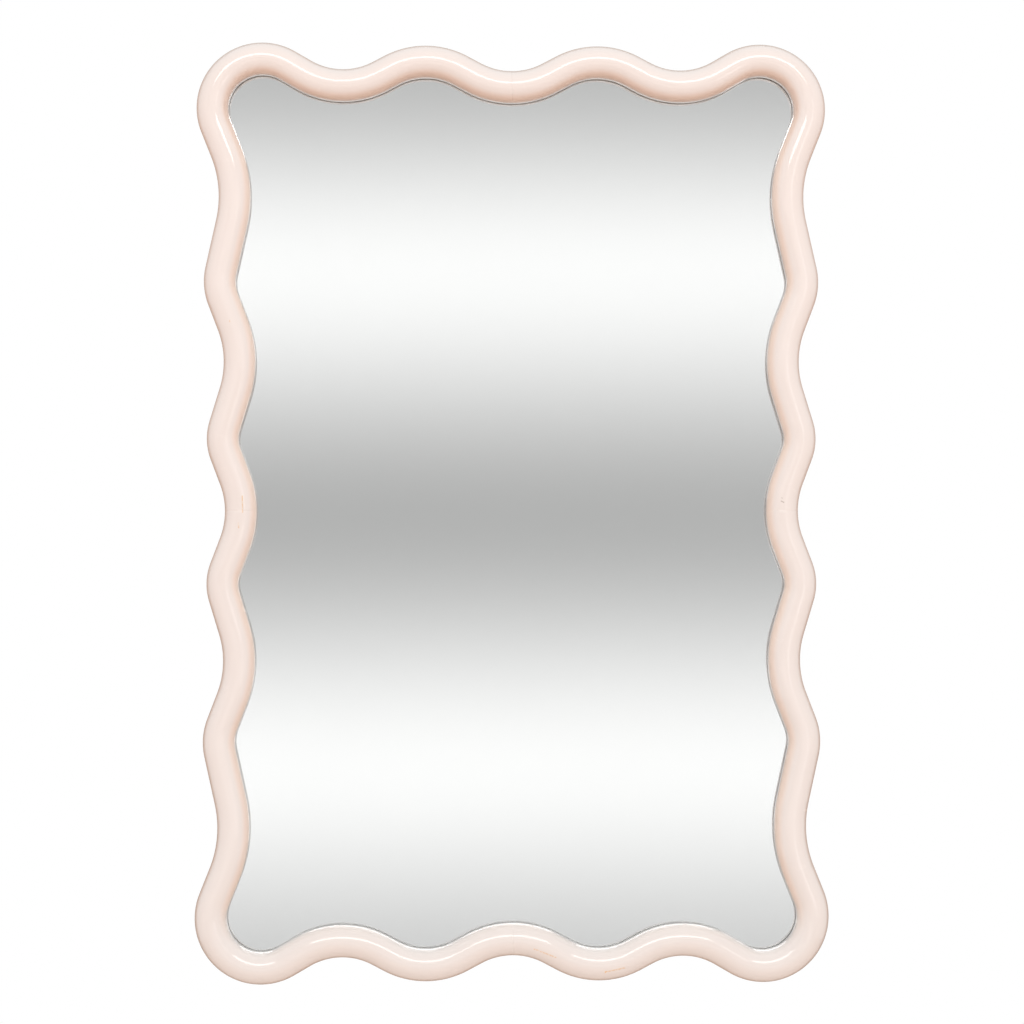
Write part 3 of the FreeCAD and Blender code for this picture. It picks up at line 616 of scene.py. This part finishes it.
# the silver coat, a hair clear of the glass so that the two faces don't share a plane
def coatGlass():
    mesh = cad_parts["mirror_silvering"].data.copy()
    mesh.name = "mirrorSilver"
    low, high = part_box("mirror_silvering")
    squeeze = silverSet["thick"] * mm / (high.y - low.y)
    mesh.transform(Matrix.Translation((0, high.y, 0)) @ Matrix.Diagonal((1, squeeze, 1, 1))
                   @ Matrix.Translation((0, -high.y, 0)))
    shell = bmesh.new()
    shell.from_mesh(mesh)
    bmesh.ops.remove_doubles(shell, verts=shell.verts, dist=silverSet["weld"] * mm)
    shell.to_mesh(mesh)
    shell.free()
    mesh.materials.clear()
    mesh.materials.append(silver)
    onBody(placed("mirrorSilver", mesh), "mirror", "mirror_silvering", "mirror_silvering")


coatGlass()


# closed shapes for the hardware, in mm about their own seat: +Y towards the wall
def lofted(name, loops):
    # skin over loops of points, capped at both ends
    shape = bmesh.new()
    rings = [[shape.verts.new(Vector(point) * mm) for point in loop] for loop in loops]
    for here, there in zip(rings, rings[1:]):
        for i in range(len(here)):
            shape.faces.new((here[i - 1], here[i], there[i], there[i - 1]))
    shape.faces.new(rings[0])
    shape.faces.new(rings[-1])
    bmesh.ops.recalc_face_normals(shape, faces=shape.faces)
    mesh = bpy.data.meshes.new(name)
    shape.to_mesh(mesh)
    shape.free()
    return placed(name, mesh)


def carved(thing, cutters, bevel, segments=2, angle=40):
    for cutter in cutters:
        cut = thing.modifiers.new("cut", "BOOLEAN")
        cut.solver = "EXACT"
        cut.object = cutter
    edge = thing.modifiers.new("edge", "BEVEL")
    edge.width = bevel * mm
    edge.segments = segments
    edge.limit_method = "ANGLE"
    edge.angle_limit = math.radians(angle)
    made = baked(thing)
    thing.modifiers.clear()
    thing.data = made
    for cutter in cutters:
        bpy.data.objects.remove(cutter)
    return thing


def arc(middle, radius, first, last, steps):
    # points from one angle to another, in degrees
    turns = [math.radians(first + (last - first) * i / steps) for i in range(steps + 1)]
    return [(middle[0] + radius * math.cos(a), middle[1] + radius * math.sin(a)) for a in turns]


def ring(radius, depth, steps):
    return [(x, depth, z) for x, z in arc((0, 0), radius, 0, 360 * (steps - 1) / steps, steps - 1)]


def drill(radius, up, thick, over=1, steps=32):
    # a cutter for a hole through a plate, which stands over both faces
    loops = [[(x, y, z + up) for x, y, z in ring(radius, depth, steps)] for depth in (-over, thick + over)]
    return lofted("drill", loops)


screwSet = {"shank": 1.75, "core": 1.25, "length": 14, "tip": 3, "blunt": 0.06, "pitch": 1.4, "head": 3.5,
            "rise": 2, "round": 1.4, "brim": 0.1, "crown": 0.6, "bevel": 0.05, "hole": 1.83,
            "steps": 20, "threadSteps": 4, "roundSteps": 6, "spread": math.pi / 4,
            "recess": {"span": 2.0, "width": 0.45, "depth": 1.2, "taper": 0.62, "over": 0.5}}


def screwBlank():
    steps, pitch = screwSet["steps"], screwSet["pitch"]
    loops = []
    # threaded shank: the crest of the thread climbs round the core
    depth = -screwSet["length"]
    while depth < -pitch:
        slim = min(1, (depth + screwSet["length"]) / screwSet["tip"] + screwSet["blunt"])
        loop = []
        for i in range(steps):
            turn = i / steps
            crest = abs(((depth / pitch - turn) % 1) * 2 - 1) ** 2
            radius = slim * (screwSet["core"] + crest * (screwSet["shank"] - screwSet["core"]))
            loop.append((radius * math.cos(2 * math.pi * turn), depth, radius * math.sin(2 * math.pi * turn)))
        loops.append(loop)
        depth += pitch / screwSet["threadSteps"]
    loops += [ring(screwSet["shank"], -pitch, steps), ring(screwSet["shank"], 0, steps)]
    head, rise, bend, brim = (screwSet[size] for size in ("head", "rise", "round", "brim"))
    loops += [ring(head - brim, 0, steps), ring(head, brim, steps)]
    dome = arc((head - bend, rise - bend), bend, 0, 90, screwSet["roundSteps"])
    loops += [ring(radius, depth, steps) for radius, depth in dome]
    loops.append(ring(screwSet["crown"], rise, steps))
    recess = screwSet["recess"]
    cross = []
    # the recess narrows with depth, and its cutter stands over the head
    widening = recess["over"] * (1 - recess["taper"]) / recess["depth"]
    for depth, size in ((rise + recess["over"], 1 + widening), (rise - recess["depth"], recess["taper"])):
        s, w = recess["span"] * size, recess["width"] * size
        corners = [(w, s), (w, w), (s, w)]
        for arm in range(3):
            corners += [(z, -x) for x, z in corners[-3:]]
        cross.append([(x, depth, z) for x, z in corners])
    return carved(lofted("screwBlank", loops), [lofted("cross", cross)], screwSet["bevel"])


buttonSet = {"radius": 4.5, "reach": 10, "thick": 1.2, "bevel": 0.2, "inset": 7.5, "steps": 20, "seed": 3,
             "waves": (("end", 1), ("side", 3), ("side", 1))}


def buttonBlank():
    radius, reach, thick, steps = (buttonSet[size] for size in ("radius", "reach", "thick", "steps"))
    outline = arc((0, 0), radius, 90, 270, steps) + arc((reach, 0), radius, -90, 90, steps)
    plate = lofted("buttonBlank", [[(x, depth, z) for x, z in outline] for depth in (0, thick)])
    return carved(plate, [drill(screwSet["hole"], 0, thick)], buttonSet["bevel"])


strapSet = {"width": 10, "thick": 1, "length": 36, "round": 3, "barrel": 2.33, "rollEnd": 210, "rollStep": 15,
            "tipStart": 5, "tipSteps": 8, "holes": (30, 20), "bevel": 0.12, "waves": {"side": 4, "end": 2},
            "seed": 8}


def strapBlank():
    # a strip whose end is rolled round the ring's bar: rows of (height, depth, lean, half width)
    half = strapSet["width"] / 2
    thick, bend, barrel, rollEnd = (strapSet[size] for size in ("thick", "round", "barrel", "rollEnd"))
    rows = [(bend - strapSet["length"] - x, thick / 2, 0, half - bend + z)
            for x, z in arc((0, 0), bend, strapSet["tipStart"], 90, strapSet["tipSteps"])]
    middle = barrel - thick / 2
    turns = range(-90, rollEnd + 1, strapSet["rollStep"])
    rows += [(middle * z, barrel + middle * y, turn + 90, half)
             for turn, (z, y) in zip(turns, arc((0, 0), 1, -90, rollEnd, len(turns) - 1))]
    loops = []
    for height, depth, lean, wide in rows:
        up, out = -math.sin(math.radians(lean)) * thick / 2, math.cos(math.radians(lean)) * thick / 2
        loops.append([(x, depth + side * out, height + side * up)
                      for x, side in ((-wide, -1), (wide, -1), (wide, 1), (-wide, 1))])
    holes = [drill(screwSet["hole"], -below, thick) for below in strapSet["holes"]]
    return carved(lofted("strapBlank", loops), holes, strapSet["bevel"])


bumperSet = {"foot": 6, "brim": (0.2, 0.25), "face": 5, "draft": 0.08, "height": 6, "round": 1, "steps": 48,
             "roundSteps": 6, "dimple": 2.6, "dip": 0.5, "rim": (0.4, 0.12), "slope": 0.8, "eye": 0.4}


def bumperBlank():
    foot, height, bend, dimple = (bumperSet[size] for size in ("foot", "height", "round", "dimple"))
    (brimIn, brimUp), (rimOut, rimDown) = bumperSet["brim"], bumperSet["rim"]
    floor = height - bumperSet["dip"]
    outline = [(foot - brimIn, 0), (foot, brimUp)]
    middle = (bumperSet["face"] - bend + bumperSet["draft"], height - bend)
    outline += arc(middle, bend, 0, 90, bumperSet["roundSteps"])
    outline += [(dimple + rimOut, height), (dimple, height - rimDown)]
    outline += [(dimple - bumperSet["slope"], floor), (bumperSet["eye"], floor)]
    return lofted("bumperBlank", [ring(radius, depth, bumperSet["steps"]) for radius, depth in outline])


def scatterTree():
    tree, net, given = newTree("scatter", {"Blank": "Object", "Spin Spread": "Float", "Seed": "Int",
                                           "Finish": "Material"})
    heading = net.add("GeometryNodeInputNamedAttribute", {"data_type": "FLOAT"}, {"Name": "heading"})
    spread = given["Spin Spread"]
    spin = net.add("FunctionNodeRandomValue", {"data_type": "FLOAT"},
                   {"Min_001": spread * -1, "Max_001": spread, "Seed": given["Seed"]}, "Value_001")
    turn = net.add("FunctionNodeAxisAngleToRotation", None, {"Axis": (0, 1, 0), "Angle": heading + spin})
    blank = net.add("GeometryNodeObjectInfo", None, {"Object": given["Blank"]}, "Geometry")
    copies = net.add("GeometryNodeInstanceOnPoints", None,
                     {"Points": given["Geometry"], "Instance": blank, "Rotation": turn})
    closeTree(net, copies, given["Finish"])
    return tree


scatter = scatterTree()


def scattered(name, blank, sites, finish, spread=0.0, seed=0):
    # sites are (x, y, z) in mm with the turn about Y in radians
    mesh = bpy.data.meshes.new(name)
    mesh.from_pydata([Vector(place) * mm for place, heading in sites], [], [])
    headings = [heading for place, heading in sites]
    mesh.attributes.new("heading", "FLOAT", "POINT").data.foreach_set("value", headings)
    values = {"Blank": blank, "Spin Spread": spread, "Seed": seed, "Finish": finish}
    return smoothed(grown(name, mesh, scatter, values))


backDepth = -railSet["back"]
quarters = ((1, 1), (1, -1), (-1, -1), (-1, 1))


def buttonSites():
    sites = []
    shift = railSet["rebate"] - halfRail + buttonSet["inset"]
    for xSign, zSign in quarters:
        for kind, step in buttonSet["waves"]:
            if kind == "side":
                x, z, heading = sideApex[step] + shift, sideStation[step], math.atan2(0, -xSign)
            else:
                x, z, heading = endStation[step], endApex[step] + shift, math.atan2(zSign, 0)
            sites.append(((xSign * x, backDepth, zSign * z), heading))
    return sorted(sites, key=lambda site: math.atan2(site[0][0], site[0][2]) % (2 * math.pi))


def makeButtons():
    plate, screw, sites = buttonBlank(), screwBlank(), buttonSites()
    for number, site in enumerate(sites, start=1):
        node = f"turn_button_{number:02d}"
        button = scattered(f"turnButton{number:02d}", plate, [site], steel)
        onBody(button, node, "zinc_steel", node)
    seats = [((x, y + buttonSet["thick"], z), 0.0) for (x, y, z), heading in sites]
    screws = scattered("turnButtonScrews", screw, seats, steel, screwSet["spread"], buttonSet["seed"])
    onBody(screws, "mirror", "zinc_steel", "turn_button_screws")
    for blank in (plate, screw):
        bpy.data.objects.remove(blank)


makeButtons()


ringSet = {"wire": 2.5, "half": 8, "corner": 2.5, "leg": 5, "barDepth": 2.33, "steps": 12, "roundSteps": 20}


def wireTree():
    tree, net, given = newTree("bentWire", {"Wire": "Float", "Bend Steps": "Int", "Round Steps": "Int",
                                            "Finish": "Material"})
    path = net.add("GeometryNodeMeshToCurve", None, {"Mesh": given["Geometry"]})
    bend = net.add("GeometryNodeInputNamedAttribute", {"data_type": "FLOAT"}, {"Name": "bend"})
    path = net.add("GeometryNodeFilletCurve", {"mode": "POLY"},
                   {"Curve": path, "Count": given["Bend Steps"], "Radius": bend})
    section = net.add("GeometryNodeCurvePrimitiveCircle", {"mode": "RADIUS"},
                      {"Resolution": given["Round Steps"], "Radius": given["Wire"] * 0.5})
    wire = net.add("GeometryNodeCurveToMesh", None, {"Curve": path, "Profile Curve": section})
    closeTree(net, joined(net, wire), given["Finish"])
    return tree


def hangerSites():
    # the bar of each ring, with the turn of its hanger about Y
    reach = ringSet["leg"] + ringSet["corner"] + ringSet["half"] + ringSet["wire"] / 2
    shift = (strapSet["length"] - reach) / 2
    side, end = strapSet["waves"]["side"], strapSet["waves"]["end"]
    out, along = sideApex[side] + railSet["rebate"] / 2, sideStation[side] + shift
    over, far = endApex[end] + railSet["rebate"] / 2, endStation[end] + shift
    return {"right": ((out, backDepth, along), 0.0), "left": ((-out, backDepth, along), 0.0),
            "top": ((far, backDepth, over), math.pi / 2), "bottom": ((far, backDepth, -over), math.pi / 2)}


def makeHangers():
    sites, tree = hangerSites(), wireTree()
    strip, screw = strapBlank(), screwBlank()
    half, top = ringSet["half"], ringSet["corner"] + ringSet["leg"] + ringSet["half"]
    corners = [(-half, 0), (half, 0), (half, top), (-half, top)]
    bends = [ringSet["corner"] * mm] * 2 + [half * mm] * 2
    seats = []
    for name, (place, heading) in sites.items():
        strap = scattered(f"hangerStrap{name.title()}", strip, [(place, heading)], steel)
        onBody(strap, "mirror", "zinc_steel", f"hanger_strap_{name}")
        turned = Matrix.Translation(Vector(place)) @ Matrix.Rotation(heading, 4, "Y")
        path = bpy.data.meshes.new("ringPath")
        path.from_pydata([turned @ Vector((x, ringSet["barDepth"], z)) * mm for x, z in corners],
                         [(0, 1), (1, 2), (2, 3), (3, 0)], [])
        path.attributes.new("bend", "FLOAT", "POINT").data.foreach_set("value", bends)
        bow = grown(f"hangerRing{name.title()}", path, tree,
                    {"Wire": ringSet["wire"] * mm, "Bend Steps": ringSet["steps"],
                     "Round Steps": ringSet["roundSteps"], "Finish": steel})
        onBody(smoothed(bow), f"hanger_ring_{name}", "zinc_steel", f"hanger_ring_{name}")
        seats += [(turned @ Vector((0, strapSet["thick"], -below)), 0.0) for below in strapSet["holes"]]
    screws = scattered("hangerScrews", screw, seats, steel, screwSet["spread"], strapSet["seed"])
    onBody(screws, "mirror", "zinc_steel", "hanger_screws")
    for blank in (strip, screw):
        bpy.data.objects.remove(blank)


makeHangers()


def makeBumpers():
    blank = bumperBlank()
    diagonal = (railSet["corner"] + railSet["rebate"] / 2) / math.sqrt(2)
    names = ("top_right", "bottom_right", "bottom_left", "top_left")
    for (xSign, zSign), name in zip(quarters, names):
        site = ((xSign * (cornerX + diagonal), backDepth, zSign * (cornerZ + diagonal)), 0.0)
        words = "".join(word.title() for word in name.split("_"))
        bumper = scattered(f"bumper{words}", blank, [site], rubber)
        onBody(bumper, "mirror", "bumper_rubber", f"bumper_{name}")
    bpy.data.objects.remove(blank)


makeBumpers()
print("hardware made")


# light: a soft key from above, a low fill, a strip and a side lamp for the gloss lines, and one for the back
lightSet = {
    "key": {"place": (0.5, -3.0, 3.2), "size": (3.0, 2.0), "power": 25.0, "gloss": False, "glass": True},
    "fill": {"place": (-0.3, -4.4, -0.9), "size": (2.4, 0.6), "power": 16.0, "gloss": False, "glass": False},
    "strip": {"place": (0.0, -4.1, 2.1), "size": (3.6, 1.0), "power": 52.0, "gloss": True, "glass": True},
    "side": {"place": (1.9, -3.9, 0.2), "size": (0.5, 2.4), "power": 6.0, "gloss": True, "glass": True},
    "behind": {"place": (0.0, 4.0, 0.7), "size": (2.0, 2.0), "power": 55.0, "gloss": False, "glass": False},
    # soft light from all round, warmer from below
    "ambientHigh": (0.645, 0.655, 0.655), "ambientLow": (0.93, 0.64, 0.53), "horizon": 0.6,
}
white = (1.0, 1.0, 1.0)


def placeLights():
    for name in ("key", "fill", "strip", "side", "behind"):
        lamp = lightSet[name]
        data = bpy.data.lights.new(name, "AREA")
        data.shape = "RECTANGLE"
        data.size, data.size_y = lamp["size"]
        data.energy = lamp["power"]
        light = placed(name, data)
        light.location = lamp["place"]
        light.rotation_euler = (-Vector(lamp["place"])).to_track_quat("-Z", "Y").to_euler()
        light.visible_camera = False
        light.visible_glossy, light.visible_transmission = lamp["gloss"], lamp["glass"]
    world = bpy.data.worlds.new("studio")
    world.use_nodes = True
    world.node_tree.nodes.clear()
    net = Net(world.node_tree)
    seen = [net.add("ShaderNodeLightPath", None, None, f"Is {kind} Ray")
            for kind in ("Camera", "Glossy", "Transmission")]
    plain = seen[0].reckon("MAXIMUM", seen[0].reckon("MAXIMUM", seen[0], seen[1]), seen[2])
    x, y, z = axes(net, net.add("ShaderNodeTexCoord", None, None, "Generated"))
    rise = net.step(z, -lightSet["horizon"], lightSet["horizon"])
    soft = net.blend(rise, lightSet["ambientLow"], lightSet["ambientHigh"])
    shade = net.add("ShaderNodeBackground", None, {"Color": net.blend(plain, soft, white), "Strength": 1.0})
    net.add("ShaderNodeOutputWorld", None, {"Surface": shade})
    scene.world = world


placeLights()


def panel(name, corners, finish):
    mesh = bpy.data.meshes.new(name)
    mesh.from_pydata(corners, [], [(0, 1, 2, 3)])
    mesh.materials.append(finish)
    return placed(name, mesh)


def square(half):
    return [(-half, -half), (half, -half), (half, half), (-half, half)]


# what the mirror shows: a large studio card behind the camera, shaded in soft level bands
cardStage = {
    "away": 4.3, "half": 3.0,
    # height on the mirror in mm, with the brightness seen there
    "bands": [(448, 0.50), (237, 0.985), (-4, 0.456), (-251, 0.99), (-465, 0.60)],
    "loss": 0.918,
}


def placeCard():
    away, bands = cardStage["away"], cardStage["bands"]
    finish, net, where = newFinish("studioCard")
    x, y, z = axes(net, where)
    # the height on the card that each height on the mirror shows the camera
    eye = viewCamera.location
    hits = [height * mm + (height * mm - eye.z) * away / -eye.y for height, tone in bands]
    low, high = hits[-1], hits[0]
    ramp = [((hit - low) / (high - low), (tone,) * 3) for hit, (height, tone) in zip(hits, bands)]
    share = net.add("ShaderNodeMapRange", None, {0: z, 1: low, 2: high})
    tone = net.add("ShaderNodeValToRGB", {"stops": ramp[::-1], "ease": "EASE"}, {0: share})
    glow = net.add("ShaderNodeEmission", None, {"Color": tone, "Strength": 1 / cardStage["loss"]})
    net.add("ShaderNodeOutputMaterial", None, {"Surface": glow})
    card = panel("studioCard", [(x, -away, z) for x, z in square(cardStage["half"])], finish)
    card.visible_camera = card.visible_diffuse = card.visible_shadow = False


placeCard()


# a brown card round the back of the mirror, which only gloss shows: it draws the rail's outer edge
flagSet = {"away": 0.5, "half": 1.5, "opening": (0.27, 0.42), "soft": 0.08,
           "low": (0.22, 0.14, 0.09), "high": (0.42, 0.34, 0.29), "rise": 0.6}


def placeFlag():
    finish, net, where = newFinish("edgeFlag")
    x, y, z = axes(net, where)
    beside, above = (axis.reckon("ABSOLUTE", axis) - reach for axis, reach in zip((x, z), flagSet["opening"]))
    outside = net.step(beside.reckon("MAXIMUM", beside, above), 0.0, flagSet["soft"])
    tone = net.blend(net.step(z, -flagSet["rise"], flagSet["rise"]), flagSet["low"], flagSet["high"])
    glow = net.add("ShaderNodeEmission", None, {"Color": net.blend(outside, white, tone), "Strength": 1.0})
    net.add("ShaderNodeOutputMaterial", None, {"Surface": glow})
    flag = panel("edgeFlag", [(x, flagSet["away"], z) for x, z in square(flagSet["half"])], finish)
    flag.visible_camera = flag.visible_diffuse = flag.visible_shadow = flag.visible_transmission = False


placeFlag()

floorSet = {"half": 2.0, "height": -1.25, "tone": (0.83, 0.70, 0.62), "dark": (0.79, 0.665, 0.59),
            "cloud": 1.5, "rough": 0.8}


def placeFloor():
    finish, net, where = newFinish("paleFloor")
    cloud = net.noise(where, floorSet["cloud"], 3.0)
    surface(net, {"Base Color": net.blend(cloud * 0.4, floorSet["tone"], floorSet["dark"]),
                  "Roughness": floorSet["rough"]})
    floor = panel("floor", [(x, y, floorSet["height"]) for x, y in square(floorSet["half"])], finish)


placeFloor()
print("stage set")
